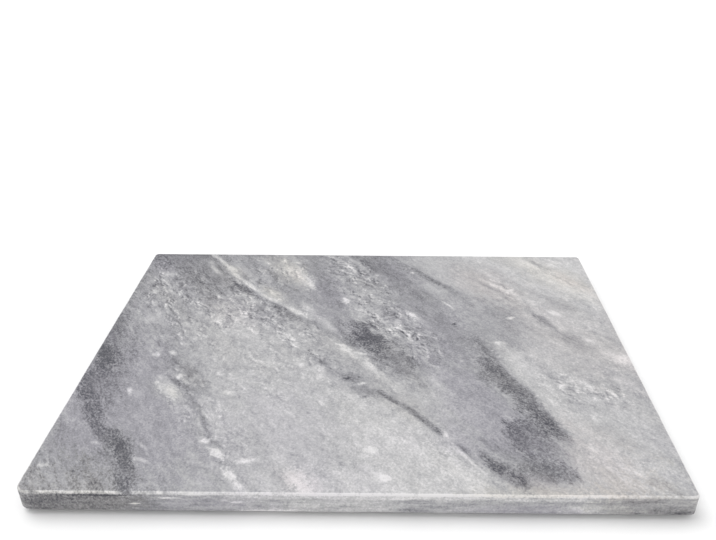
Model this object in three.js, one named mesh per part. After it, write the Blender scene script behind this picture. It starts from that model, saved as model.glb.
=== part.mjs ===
// Grey marble chopping board: one sawn and honed stone slab that stands on four
// moulded rubber feet, each held to the underside by its own adhesive pad.
// Millimetres, +Z up, +X along the board, -Y towards the cook.
// The origin is on the worktop, under the middle of the board.
import * as THREE from 'three';

// Slab
const BOARD_LENGTH = 400;
const BOARD_DEPTH = 300;
const SLAB_THICKNESS = 15;
const CORNER_RADIUS = 3.5; // the corners as the saw bench leaves them, rubbed down
const WORN_CORNER_RADIUS = 7; // the front left corner, rubbed rounder than the rest
const TOP_ARRIS_RADIUS = 1.5; // the eased edge round the working face
const BOTTOM_ARRIS_RADIUS = 1; // the lighter easing round the underside

// Feet
const FOOT_INSET = 32; // from the slab's sides to a foot's axis
const FOOT_TOP_DIAMETER = 16; // where the foot is glued
const FOOT_BASE_DIAMETER = 14; // where the tapered side would meet the worktop with a sharp rim
const FOOT_HEIGHT = 3;
const FOOT_RIM_RADIUS = 0.75; // the moulded rounding at the standing edge
const FOOT_LAND = 0.5; // the straight band at the top, above the taper

// Adhesive pads
const PAD_THICKNESS = 0.5;
const PAD_MARGIN = 0.5; // the pad stays this far inside the foot's top edge

// Facets
const CORNER_STEPS = 10;
const ARRIS_STEPS = 6;
const ROUND_SEGMENTS = 40;
const RIM_STEPS = 5;

const PAD_BASE = FOOT_HEIGHT;
const SLAB_BASE = PAD_BASE + PAD_THICKNESS;

const materials = {
  marble: new THREE.MeshStandardMaterial({ color: 0xb3b3b8, roughness: 0.45, metalness: 0 }),
  rubber: new THREE.MeshStandardMaterial({ color: 0x2c2c2e, roughness: 0.8, metalness: 0 }),
  adhesive: new THREE.MeshStandardMaterial({ color: 0xd9d6cc, roughness: 0.7, metalness: 0 }),
};

// The four corners in order round the board, seen from above. Each is a side of the
// board in X and in Y, the rounding of the slab there, and where its arc begins.
const corners = [
  { place: 'back_right', x: 1, y: 1, radius: CORNER_RADIUS, start: 0 },
  { place: 'back_left', x: -1, y: 1, radius: CORNER_RADIUS, start: Math.PI / 2 },
  { place: 'front_left', x: -1, y: -1, radius: WORN_CORNER_RADIUS, start: Math.PI },
  { place: 'front_right', x: 1, y: -1, radius: CORNER_RADIUS, start: 1.5 * Math.PI },
];

// A point on a circular arc, as a pair of sideways and upward distances.
function onArc(centreA, centreB, radius, angle) {
  return [centreA + radius * Math.cos(angle), centreB + radius * Math.sin(angle)];
}

// The slab's outline at one height, drawn in from its sides by inset. Every outline
// has the same number of points, so that two neighbours can be joined by a band.
function slabOutline(inset, z) {
  const ring = [];
  for (const corner of corners) {
    const centreX = corner.x * (BOARD_LENGTH / 2 - corner.radius);
    const centreY = corner.y * (BOARD_DEPTH / 2 - corner.radius);
    for (let step = 0; step <= CORNER_STEPS; step++) {
      const angle = corner.start + (step / CORNER_STEPS) * (Math.PI / 2);
      ring.push([...onArc(centreX, centreY, corner.radius - inset, angle), z]);
    }
  }
  return ring;
}

// The slab's edge from the underside to the working face: inset and height of each
// step round the bottom arris, up the sawn side and round the top arris.
function slabEdgeProfile() {
  const profile = [];
  for (let step = 0; step <= ARRIS_STEPS; step++) {
    const angle = -Math.PI / 2 + (step / ARRIS_STEPS) * (Math.PI / 2);
    const [outward, z] = onArc(-BOTTOM_ARRIS_RADIUS, BOTTOM_ARRIS_RADIUS, BOTTOM_ARRIS_RADIUS, angle);
    profile.push([-outward, z]);
  }
  for (let step = 0; step <= ARRIS_STEPS; step++) {
    const angle = (step / ARRIS_STEPS) * (Math.PI / 2);
    const topCentre = SLAB_THICKNESS - TOP_ARRIS_RADIUS;
    const [outward, z] = onArc(-TOP_ARRIS_RADIUS, topCentre, TOP_ARRIS_RADIUS, angle);
    profile.push([-outward, z]);
  }
  return profile;
}

// A closed solid lofted through rings of equal length, from the lowest to the highest,
// with a flat end on the first and on the last.
function loft(rings) {
  const count = rings[0].length;
  const positions = rings.flat();
  const triangles = [];
  for (let level = 0; level + 1 < rings.length; level++) {
    for (let i = 0; i < count; i++) {
      const next = (i + 1) % count;
      const [a, b] = [level * count + i, level * count + next];
      const [c, d] = [a + count, b + count];
      triangles.push(a, b, d, a, d, c);
    }
  }
  const top = (rings.length - 1) * count;
  for (let i = 1; i + 1 < count; i++) {
    triangles.push(0, i + 1, i);
    triangles.push(top, top + i, top + i + 1);
  }
  const geometry = new THREE.BufferGeometry();
  geometry.setAttribute('position', new THREE.Float32BufferAttribute(positions.flat(), 3));
  geometry.setIndex(triangles);
  geometry.computeVertexNormals();
  return geometry;
}

function slabGeometry() {
  return loft(slabEdgeProfile().map(([inset, z]) => slabOutline(inset, z)));
}

// A foot is turned about its own axis: flat underneath, a rounded rim, a tapered side
// that widens upwards, a short straight land and a flat top for the pad. The rim is an
// arc that leaves the base and meets the taper without a corner.
function footGeometry() {
  const topRadius = FOOT_TOP_DIAMETER / 2;
  const baseRadius = FOOT_BASE_DIAMETER / 2;
  const taper = new THREE.Vector2(topRadius - baseRadius, FOOT_HEIGHT - FOOT_LAND).normalize();
  const rimCentre = baseRadius - (FOOT_RIM_RADIUS * (1 - taper.x)) / taper.y;
  const rimStart = -Math.PI / 2;
  const rimEnd = Math.atan2(-taper.x, taper.y);
  const profile = [new THREE.Vector2(0, 0)];
  for (let step = 0; step <= RIM_STEPS; step++) {
    const angle = rimStart + (step / RIM_STEPS) * (rimEnd - rimStart);
    profile.push(new THREE.Vector2(...onArc(rimCentre, FOOT_RIM_RADIUS, FOOT_RIM_RADIUS, angle)));
  }
  profile.push(new THREE.Vector2(topRadius, FOOT_HEIGHT - FOOT_LAND));
  profile.push(new THREE.Vector2(topRadius, FOOT_HEIGHT));
  profile.push(new THREE.Vector2(0, FOOT_HEIGHT));
  return new THREE.LatheGeometry(profile, ROUND_SEGMENTS).rotateX(Math.PI / 2);
}

function padGeometry() {
  const radius = FOOT_TOP_DIAMETER / 2 - PAD_MARGIN;
  const disc = new THREE.CylinderGeometry(radius, radius, PAD_THICKNESS, ROUND_SEGMENTS);
  return disc.rotateX(Math.PI / 2).translate(0, 0, PAD_THICKNESS / 2);
}

function piece(name, geometry, material) {
  const mesh = new THREE.Mesh(geometry, material);
  mesh.name = name;
  return mesh;
}

const board = new THREE.Group();

const slab = piece('marble_slab', slabGeometry(), materials.marble);
slab.position.z = SLAB_BASE;
board.add(slab);

for (const { place, x, y } of corners) {
  const stand = new THREE.Group();
  stand.position.set(x * (BOARD_LENGTH / 2 - FOOT_INSET), y * (BOARD_DEPTH / 2 - FOOT_INSET), 0);
  stand.add(piece(`rubber_foot_${place}`, footGeometry(), materials.rubber));
  const pad = piece(`adhesive_pad_${place}`, padGeometry(), materials.adhesive);
  pad.position.z = PAD_BASE;
  stand.add(pad);
  board.add(stand);
}

export default board;
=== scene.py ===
"""Dresses a packed marble chopping board: honed, veined stone on rubber feet and foam pads.

Lengths are metres, as in the frame, unless a name or a note says millimetres.
The stone is drawn in millimetres on the board, seen from above: x to the right, y to the back.
"""

import math
from collections import namedtuple

import bpy
from bpy.props import FloatProperty, FloatVectorProperty, IntProperty, PointerProperty
from bpy.types import Operator, Panel, PropertyGroup
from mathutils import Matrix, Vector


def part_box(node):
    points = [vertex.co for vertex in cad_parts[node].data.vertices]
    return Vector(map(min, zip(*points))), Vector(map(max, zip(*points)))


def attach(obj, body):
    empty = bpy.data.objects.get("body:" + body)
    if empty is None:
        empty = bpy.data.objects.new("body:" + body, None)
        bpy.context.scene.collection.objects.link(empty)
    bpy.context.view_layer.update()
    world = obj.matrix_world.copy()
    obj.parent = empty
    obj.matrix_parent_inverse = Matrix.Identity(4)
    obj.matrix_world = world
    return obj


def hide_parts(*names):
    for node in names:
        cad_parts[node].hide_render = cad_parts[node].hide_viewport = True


bl_info = {
    "name": "Marble Chopping Board",
    "version": (1, 0, 0),
    "blender": (4, 5, 0),
    "location": "View3D > Sidebar > Board",
    "description": "Builds the stone, feet and pads of a marble chopping board around its frame",
    "category": "Object",
}

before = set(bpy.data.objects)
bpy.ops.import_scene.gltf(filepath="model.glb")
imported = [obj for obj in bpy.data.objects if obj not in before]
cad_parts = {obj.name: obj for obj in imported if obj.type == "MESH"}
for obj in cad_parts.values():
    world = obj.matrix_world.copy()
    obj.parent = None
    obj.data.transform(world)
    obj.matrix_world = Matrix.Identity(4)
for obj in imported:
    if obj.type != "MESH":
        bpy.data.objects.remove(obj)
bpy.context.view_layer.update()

MM = 0.001
CORNERS = ("back_right", "back_left", "front_left", "front_right")
FOOT_NODES = ["rubber_foot_" + corner for corner in CORNERS]
PAD_NODES = ["adhesive_pad_" + corner for corner in CORNERS]

slab_low, slab_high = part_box("marble_slab")
foot_low, foot_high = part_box("rubber_foot_back_right")
pad_low, pad_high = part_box("adhesive_pad_back_right")
foot_centre = (foot_low + foot_high) / 2

# Small details of the shapes
SLAB_LAND = 0.4 * MM  # the strip of each flat face that belongs to the swept edge
FOOT_TOP_ROUNDING = 0.2 * MM
PAD_ROUNDING = 0.12 * MM
CORNER_STEPS = 16
ARRIS_STEPS = 7
RIM_STEPS = 6
ROUND_SEGMENTS = 64
MERGE_DISTANCE = 0.001 * MM

# The chips of the slab's edges: noises with so many waves in a metre
WEAR_SCALE = 45.0
NICK_SCALE = 210.0
CHIP_DETAIL = 2.0
WEAR_FADE = (0.4, 0.8)
NICK_FADE = (0.58, 0.8)

# Rubber and foam: how rough they are, and the size and height of their grain
Finish = namedtuple("Finish", "roughness grain_size grain_height")
RUBBER_FINISH = Finish(0.75, 0.4 * MM, 0.03 * MM)
FOAM_FINISH = Finish(0.7, 0.25 * MM, 0.05 * MM)
GRAIN_GROUP = "Moulded Grain"
FINE_DETAIL = 3
FINE_ROUGHNESS = 0.6
FINE_BUMP = 0.5
FINE_GLOSS = 0.2
DUST_AND_SHADE_FADE = (0.35, 0.7)

# The stage
FLOOR_REACH = 6.0
FLOOR_ROUGHNESS = 0.9
KEY_PLACE = (-0.75, 0.40, 1.6)
FILL_PLACE = (0.1, -1.5, 0.5)
SENSOR_WIDTH_MM = 36.0
CAMERA_NEAR = 0.01

# A grain is one noise in the stone: its size along the grain, across it and through the slab in
# millimetres, how many finer noises it adds, and how much of each
Grain = namedtuple("Grain", "length width thickness detail roughness")
TEAR = Grain(9, 6.5, 5, 5, 0.78)
STREAK = Grain(26, 5, 4, 3, 0.6)
CLOUD = Grain(60, 26, 14, 3, 0.5)
BLOTCH = Grain(13, 8, 3, 3, 0.6)
MOTTLE = Grain(5, 4.4, 2.5, 4, 0.72)
STRING = Grain(32, 9, 8, 3, 0.6)
FLAKE = Grain(8, 5.6, 3, 5, 0.74)
CRYSTAL = Grain(6, 4.4, 3, 3, 0.7)
GRIT = Grain(1.2, 1.2, 1.2, 1, 0.6)
PEPPER = Grain(1.5, 1.5, 1.5, 2, 0.75)
BED = Grain(24, 24, 2, 4, 0.62)

# How finely the strokes wander, and the x, in millimetres, to the left of which the grain leans,
# by a rate times the square of the distance
WANDER_DETAIL = 4
WANDER_ROUGHNESS = 0.55
LEAN_START = -80.0
LEAN_RATE = -0.002

# How far a noise swings a stroke's rim, in shares of the stroke's half sizes
RIM_TEAR = 1.3
RIM_STREAK = 0.8
RIM_PEPPER = 1.0
VEIN_MOTTLE = 2.4
SPOT_MOTTLE = 3.0

# How far a noise swings the tone, everywhere or only in one kind of stone, and the tint
TONE_CLOUD = 0.08
TONE_STREAK = 0.09
TONE_BLOTCH = 0.08
TONE_BED = 0.02
TONE_GRIT = 0.22
TONE_MOTTLE = 0.15
CRUMBLY_BLOTCH = 0.25
CRUMBLY_MOTTLE = 0.33
SAWN_BED = 0.30
DARK_PEPPER = 0.6
TINT_CLOUD = 1.4

# Where a sawn side starts and is in full, in millimetres of depth, and the same of dark stone,
# in tone
SAWN_FADE = (0.5, 2.5)
DARK_FADE = (0.68, 0.48)

# Crumbs: how crumbly all the stone is, the flakes with their dark gaps, partly painted shade, and the
# crystals
CRUMBLY_BASE = 0.2
STRING_FADE = (0.36, 0.56)
FLAKE_FADE = (0.50, 0.60)
FLAKE_GAP_SHADE_SHIFT = (1.5, 1.1, 0)
FLAKE_TONE = 0.16
CRYSTAL_JITTER = 1.6
CRYSTAL_TONE = 0.13

# The paler eased edge, bruising with a painted highlight along it: its ragged line, where it starts
# and ends, in millimetres of depth, and the range of its strength from patch to patch
BRUISE_HIGHLIGHT_RAGGED = 1.6
BRUISE_HIGHLIGHT_START = (0.02, 0.2)
BRUISE_HIGHLIGHT_END = (2.2, 1.0)
BRUISE_HIGHLIGHT_PATCH = (0.3, 0.6)
BRUISE_HIGHLIGHT_RANGE = (0.5, 1.2)

# The tones at which the stone has its five greys, and its gloss and fine relief
GREY_TONES = (0.38, 0.52, 0.66, 0.78, 0.92)
GLOSS_GRIT = 0.16
RELIEF_GRIT = 0.6
RELIEF_STREAK = 0.4
RELIEF_BUMP = 0.25
RELIEF_HEIGHT = 0.05 * MM

# A stroke is one smear of stone, a soft ellipse with a torn rim, laid over those before it.
# x, y, length and width are millimetres, length and width are half sizes, and turn is the way
# the stroke runs, in degrees anticlockwise from the board's length. core is the share of the
# ellipse that has the full tone, and tone is 0 for black and 1 for white.
Stroke = namedtuple("Stroke", "name x y turn length width core tone")
FLAT = 1e6  # a reach so great that a stroke is the same at every height


def strokes(*rows):
    """A drawing: its strokes in the order in which they are laid."""
    return [Stroke(*row) for row in rows]


# Broad fields of darker or paler stone
FIELDS = strokes(
    ("back left grey", -166, 87, -50, 120, 70, 0.2, 0.61),
    ("left grey", -171, 47, -50, 70, 45, 0.1, 0.65),
    ("left grey, middle", -139, 62, -50, 26, 14, 0.0, 0.61),
    ("left grey, back", -163, 63, -40, 36, 12, 0.0, 0.62),
    ("left edge pale", -178, 82, -60, 24, 14, 0.0, 0.7),
    ("left violet", -159, -79, -62, 130, 58, 0.25, 0.64),
    ("left lilac neck", -143, -17, -60, 46, 20, 0.0, 0.605),
    ("left lilac neck, back", -143, 11, -50, 24, 11, 0.0, 0.605),
    ("left lilac", -156, -51, -62, 42, 13, 0.0, 0.685),
    ("left lilac, front", -122, -81, -60, 28, 10, 0.0, 0.7),
    ("front left corner", -181, -128, -40, 56, 40, 0.1, 0.635),
    ("left side, front", -193, -105, -70, 30, 17, 0.0, 0.62),
    ("left pale", -96, 16, -45, 100, 52, 0.2, 0.745),
    ("left pale, edge", -136, 29, -45, 24, 10, 0.0, 0.71),
    ("pale left of the vein", -63, 21, -45, 30, 13, 0.0, 0.78),
    ("front pale", -45, -79, -50, 130, 70, 0.3, 0.756),
    ("pale by the front left vein", -92, -147, 0, 14, 10, 0.0, 0.72),
    ("front edge", 20, -142, 0, 90, 22, 0.2, 0.825),
    ("soft streak at the front", -9, -152, -68, 26, 10, 0.0, 0.725),
    ("pale behind the rose patch", -46, -126, -50, 22, 10, 0.0, 0.79),
    ("soft streak left of the fissure", -24, -69, -60, 36, 16, 0.0, 0.72),
    ("fissure pale", 26, -112, -48, 96, 44, 0.3, 0.798),
    ("front pale, right", 65, -137, -52, 36, 14, 0.1, 0.835),
    ("pale under the fissure", 16, -72, -46, 26, 8, 0.0, 0.79),
    ("back grey", -46, 117, -55, 70, 40, 0.2, 0.645),
    ("back grey, right", -44, 137, -62, 32, 12, 0.0, 0.6),
    ("middle shade", 24, 94, -60, 96, 44, 0.2, 0.62),
    ("middle grey", 45, 37, -58, 80, 46, 0.2, 0.65),
    ("right of the middle", 90, 26, -58, 70, 40, 0.2, 0.665),
    ("right lilac", 84, -65, -62, 80, 34, 0.3, 0.68),
    ("grey left of the band", 62, -21, -58, 24, 14, 0.0, 0.65),
    ("right of the fissure", 47, -65, -50, 60, 24, 0.1, 0.745),
    ("back right", 140, 102, -50, 130, 74, 0.3, 0.77),
    ("back right corner", 180, 122, -50, 80, 50, 0.2, 0.805),
    ("back edge pale", 114, 143, -30, 44, 14, 0.0, 0.79),
    ("grey behind the right vein", 120, 100, -50, 40, 15, 0.0, 0.72),
    ("rosy grey behind the band", 96, 85, -55, 32, 15, 0.0, 0.765),
    ("right", 158, 21, -60, 80, 56, 0.2, 0.772),
    ("right grey", 112, 44, -55, 54, 22, 0.1, 0.655),
    ("right grey, back", 161, 67, -45, 34, 14, 0.0, 0.705),
    ("right edge, back", 193, 64, -60, 20, 12, 0.0, 0.81),
    ("right front", 166, -75, -75, 110, 60, 0.3, 0.752),
    ("pale right of the band, front", 157, -101, -60, 20, 9, 0.0, 0.79),
    ("front right corner", 159, -136, -20, 66, 36, 0.1, 0.787),
    ("back left cloud", -171, 138, -20, 62, 30, 0.2, 0.52),
    # Painted shade along the back edge, over the dark stone of the back left cloud
    ("dark stone and painted shade at the back edge, left", -166, 150, 0, 60, 29, 0.0, 0.48),
    ("behind the knot", -102, 138, -50, 46, 22, 0.1, 0.62),
    ("shade beside the main vein", -147, 112, -52, 76, 28, 0.1, 0.56),
    ("grey behind the main vein", -67, 88, -48, 60, 20, 0.1, 0.62),
    ("under the main vein", -73, 44, -42, 44, 17, 0.1, 0.65),
    ("middle blue cloud", -39, 94, -65, 60, 22, 0.1, 0.585),
    ("middle blue cloud, front", -28, 48, -62, 46, 20, 0.1, 0.64),
    # Painted shade along the back edge
    ("painted shade at the back edge, middle", -65, 150, 0, 75, 24, 0.0, 0.605),
    ("back middle shade", 13, 125, -62, 54, 24, 0.2, 0.565),
    ("back middle pale streak", 15, 100, -62, 28, 11, 0.0, 0.685),
    ("grey knot", 60, 34, -58, 40, 20, 0.0, 0.6),
    ("middle grey, back", 52, 68, -60, 44, 18, 0.0, 0.605),
    ("dark beside the back streak", 40, 88, -62, 40, 9, 0.0, 0.585),
    ("pale between the streaks", 59, 84, -55, 26, 8, 0.0, 0.71),
    ("right grey knot", 75, 6, -60, 36, 20, 0.0, 0.615),
    ("right grey, front", 111, 9, -60, 26, 13, 0.0, 0.635),
    ("left olive shade", -128, -37, -58, 44, 22, 0.1, 0.615),
    ("left olive shade, front", -112, -60, -58, 30, 13, 0.0, 0.645),
    ("central dark cloud, front", 22, -14, -58, 44, 24, 0.1, 0.565),
    ("central dark cloud, halo", -17, 15, -58, 28, 12, 0.0, 0.575),
    ("central dark cloud", 2, 12, -58, 31, 15, 0.1, 0.45),
    ("central dark cloud, back", 4, 29, -30, 12, 9, 0.0, 0.47),
    ("central dark cloud, left", -7, 6, -50, 15, 8, 0.0, 0.46),
    ("shade beside the main vein, front", 36, -46, -55, 16, 9, 0.0, 0.68),
    ("grey below the right lens", 163, 11, -60, 30, 12, 0.0, 0.685),
)

# Dark bands, the fissure and lesser dark streaks
DARK_BANDS = strokes(
    ("left band, back", -198, 19, -86, 58, 14, 0.1, 0.475),
    ("left band, halo", -190, -18, -74, 74, 29, 0.1, 0.54),
    ("left band, violet side", -191, -46, -60, 26, 13, 0.1, 0.41),
    ("left band, dark knot", -192, -15, -64, 30, 10, 0.15, 0.4),
    ("left band, stipple", -181, -53, -50, 26, 13, 0.0, 0.545),
    ("left band, middle", -178, -75, -62, 38, 8, 0.1, 0.47),
    ("left band, front", -166, -100, -52, 26, 7, 0.1, 0.48),
    ("left band, bend", -156, -105, -48, 17, 6.5, 0.0, 0.47),
    ("left band, left of the heart", -156, -120, -55, 26, 10, 0.0, 0.585),
    ("left band, heart", -149, -113, -58, 20, 8.5, 0.05, 0.4),
    ("left band, below the heart", -143, -128, -68, 22, 7, 0.0, 0.45),
    ("left band, foot", -137, -145, -72, 24, 10, 0.0, 0.45),
    ("right band, head", 95, -3, -72, 29, 9, 0.0, 0.525),
    ("right band, upper", 98, -32, -66, 36, 11, 0.1, 0.5),
    ("right band, shoulder", 92, -39, -60, 20, 9, 0.0, 0.545),
    ("right band, middle", 111, -53, -60, 38, 13, 0.1, 0.505),
    ("right band, lower", 122, -76, -62, 30, 13, 0.1, 0.49),
    ("right band, left side", 106, -105, -72, 29, 14, 0.15, 0.455),
    ("right band, between", 112, -92, -50, 22, 13, 0.1, 0.5),
    ("right band, knot", 127, -91, -58, 22, 14, 0.0, 0.45),
    ("right band, below the knot", 115, -111, -60, 28, 18, 0.0, 0.575),
    ("right band, front knot", 111, -128, -20, 28, 13, 0.1, 0.5),
    ("right band, front right", 118, -131, -30, 22, 13, 0.0, 0.57),
    ("right band, wedge", 84, -126, -56, 18, 8, 0.0, 0.47),
    ("right band, wedge foot", 98, -142, -62, 16, 7, 0.1, 0.48),
    ("violet beside the wedge", 90, -112, -50, 28, 12, 0.0, 0.64),
    ("smudge above the wedge", 82, -58, -30, 11, 8, 0.0, 0.635),
    ("fissure, head", 1, -53, -30, 22, 8, 0.0, 0.61),
    ("fissure, speck", 3, -61, 20, 6, 3, 0.0, 0.55),
    ("fissure, neck", 20, -63, -43, 18, 2.3, 0.0, 0.56),
    ("fissure", 36, -77, -46, 36, 3.5, 0.15, 0.545),
    ("fissure, point", 50, -95, -50, 11, 2.4, 0.0, 0.55),
    ("fissure, tail", 67, -114, -54, 13, 2.4, 0.0, 0.58),
    ("smudge above the fissure", -9, -39, -25, 17, 9, 0.0, 0.57),
    ("smudge left of the fissure", -27, -25, -62, 22, 6.5, 0.0, 0.61),
    ("shade under the main vein", -100, 80, -45, 28, 7, 0.2, 0.53),
    ("shade under the main vein, front", -70, 52, -42, 34, 6.5, 0.2, 0.57),
    ("shade under the main vein, end", -47, 35, -42, 26, 6, 0.0, 0.62),
    ("back streak", 56, 106, -50, 44, 4.4, 0.15, 0.55),
    ("back streak, end", 82, 74, -58, 18, 2.6, 0.0, 0.61),
    ("back streak, front", 79, 78, -58, 32, 5.5, 0.0, 0.60),
    ("right streak", 149, 33, -56, 43, 5.5, 0.0, 0.61),
    ("right streak, back", 120, 71, -55, 16, 3, 0.0, 0.7),
    ("right edge streak", 194, 7, -45, 14, 3.4, 0.0, 0.71),
    ("grey line under the right vein", 108, 90, -48, 22, 3.5, 0.0, 0.64),
    ("front left line", -106, -82, -58, 44, 3.4, 0.0, 0.58),
    ("front left line, front", -94, -104, -52, 18, 3.4, 0.0, 0.6),
    ("front left line, foot", -84, -126, -50, 18, 4.5, 0.0, 0.6),
    ("left olive line", -131, -47, -46, 18, 3, 0.0, 0.55),
    ("crescent behind", -128, 82, -60, 6, 2.6, 0.0, 0.52),
    ("crescent behind, right", -123, 78, -50, 6, 2.4, 0.0, 0.53),
    ("dark by the white spot", -22, 63, -62, 14, 5, 0.0, 0.55),
    ("left middle line", -147, 47, -35, 34, 5, 0.0, 0.66),
    ("grey streak right of the band", 136, -33, -60, 26, 7, 0.0, 0.705),
    ("grey streak right of the band, front", 151, -68, -60, 22, 7, 0.0, 0.705),
    ("black speck, right", 72, 33, 60, 3.2, 2.2, 0.1, 0.36),
    ("black speck, left", -184, 89, -70, 4.5, 2.2, 0.0, 0.42),
    ("black speck, middle", -11, -40, 0, 3, 2.2, 0.1, 0.32),
)

# Pale veins and white patches
PALE_VEINS = strokes(
    ("main vein, back", -136, 137, -50, 30, 3.6, 0.3, 0.81),
    ("main vein, knot", -122, 120, -56, 11, 5.5, 0.2, 0.87),
    ("main vein, below the knot", -117, 110, -50, 11, 3.8, 0.2, 0.82),
    ("main vein, bend", -101, 91, -49, 27, 3.2, 0.3, 0.84),
    ("main vein, broad side", -80, 77, -44, 21, 8, 0.1, 0.8),
    ("main vein, broad", -79, 67, -42, 22, 3.6, 0.2, 0.82),
    ("main vein, middle", -57, 49, -43, 18, 4.4, 0.2, 0.865),
    ("main vein, spur", -46, 53, -50, 14, 6, 0.0, 0.8),
    ("main vein, thin", -28, 27, -58, 24, 4.5, 0.1, 0.76),
    ("main vein, crossing", -13, -6, -45, 32, 8, 0.0, 0.84),
    ("main vein, front", 11, -33, -54, 34, 5.8, 0.1, 0.82),
    ("main vein, front foot", 22, -49, -54, 12, 3.6, 0.0, 0.79),
    ("second line", -137, 118, -52, 16, 3.4, 0.0, 0.82),
    ("second line, head", -144, 130, -62, 16, 6, 0.0, 0.69),
    ("pale crumbs under the main vein", -99, 66, -35, 18, 9, 0.0, 0.79),
    ("cream patch", -86, 129, -60, 30, 16, 0.0, 0.7),
    ("cream streak", -63, 116, -64, 42, 14, 0.1, 0.82),
    ("cream streak, foot", -49, 98, -70, 22, 8, 0.1, 0.83),
    ("pale patch by the cloud", 0, 49, -60, 22, 13, 0.0, 0.745),
    ("white streak behind", -15, 123, -65, 18, 5, 0.0, 0.76),
    ("white streak behind, right", -6, 129, -65, 16, 4, 0.0, 0.73),
    ("pale behind the centre", -1, 84, -62, 28, 13, 0.0, 0.71),
    ("pale patch on the left", -175, 109, -35, 12, 8, 0.0, 0.74),
    ("pale patch on the left, front", -166, 39, -25, 26, 9, 0.0, 0.745),
    ("pale patch on the left, corner", -172, 35, -30, 11, 6, 0.2, 0.76),
    ("back pale wedge", 61, 134, -68, 40, 15, 0.0, 0.75),
    ("right vein, back", 111, 112, -48, 16, 4, 0.0, 0.8),
    ("right vein, second strand", 118, 98, -42, 18, 2.6, 0.1, 0.8),
    ("right vein", 120, 86, -46, 32, 4.2, 0.0, 0.85),
    ("right pale lens", 157, 30, -72, 18, 6, 0.1, 0.815),
    ("back right bright band", 148, 136, -52, 42, 13, 0.0, 0.825),
    ("back right bright band, front", 177, 95, -52, 52, 13, 0.1, 0.86),
    ("edge of the right band", 119, -27, -64, 60, 15, 0.1, 0.805),
    ("pale right of the band", 134, -15, -60, 26, 14, 0.0, 0.79),
    ("edge of the right band, front", 137, -82, -68, 52, 12, 0.1, 0.8),
    ("right side rose", 192, -14, -50, 34, 13, 0.1, 0.83),
    ("right side rose, heart", 193, -14, -42, 13, 6, 0.1, 0.86),
    ("right cluster, middle", 158, -47, -20, 12, 4, 0.0, 0.82),
    ("right cluster, streak", 173, -54, -52, 13, 3.4, 0.0, 0.85),
    ("right cluster, front", 156, -81, -65, 9, 3, 0.0, 0.85),
    ("streak in the grey", 56, -47, -58, 22, 5, 0.0, 0.8),
    ("front left vein, patch", -135, -55, -52, 20, 8, 0.1, 0.83),
    ("front left vein, back spot", -143, -40, -40, 7, 4, 0.0, 0.77),
    ("front left vein, specks", -125, -46, -40, 6, 3, 0.0, 0.78),
    ("front left vein", -101, -78, -58, 34, 9, 0.0, 0.77),
    ("front left vein, middle", -88, -103, -55, 26, 6, 0.0, 0.755),
    ("pale at the front", -56, -140, -50, 26, 14, 0.0, 0.79),
    ("cream spots", -30, -33, -55, 18, 6, 0.0, 0.81),
    ("front rose patch", -36, -140, -55, 20, 8, 0.3, 0.87),
    ("front cream patch", -28, -147, -15, 12, 5, 0.2, 0.87),
    ("front right rose patch", 111, -148, -5, 38, 8, 0.0, 0.78),
    ("pale by the bar", 42, 39, -50, 20, 9, 0.0, 0.76),
    ("white patch by the centre", 25, 25, -55, 9, 7, 0.0, 0.8),
    ("white patch by the centre, right", 36, 7, -50, 13, 9, 0.0, 0.71),
    ("left fleck, back", -176, 97, -60, 9, 4, 0.0, 0.78),
    ("left fleck, front", -165, 76, -50, 11, 4.5, 0.1, 0.77),
    ("back right bright band, edge", 150, 136, -55, 16, 5, 0.1, 0.88),
    ("back right streak", 158, 134, -57, 22, 3.6, 0.1, 0.68),
    ("back right line", 173, 108, -58, 40, 2.2, 0.1, 0.76),
)

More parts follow.
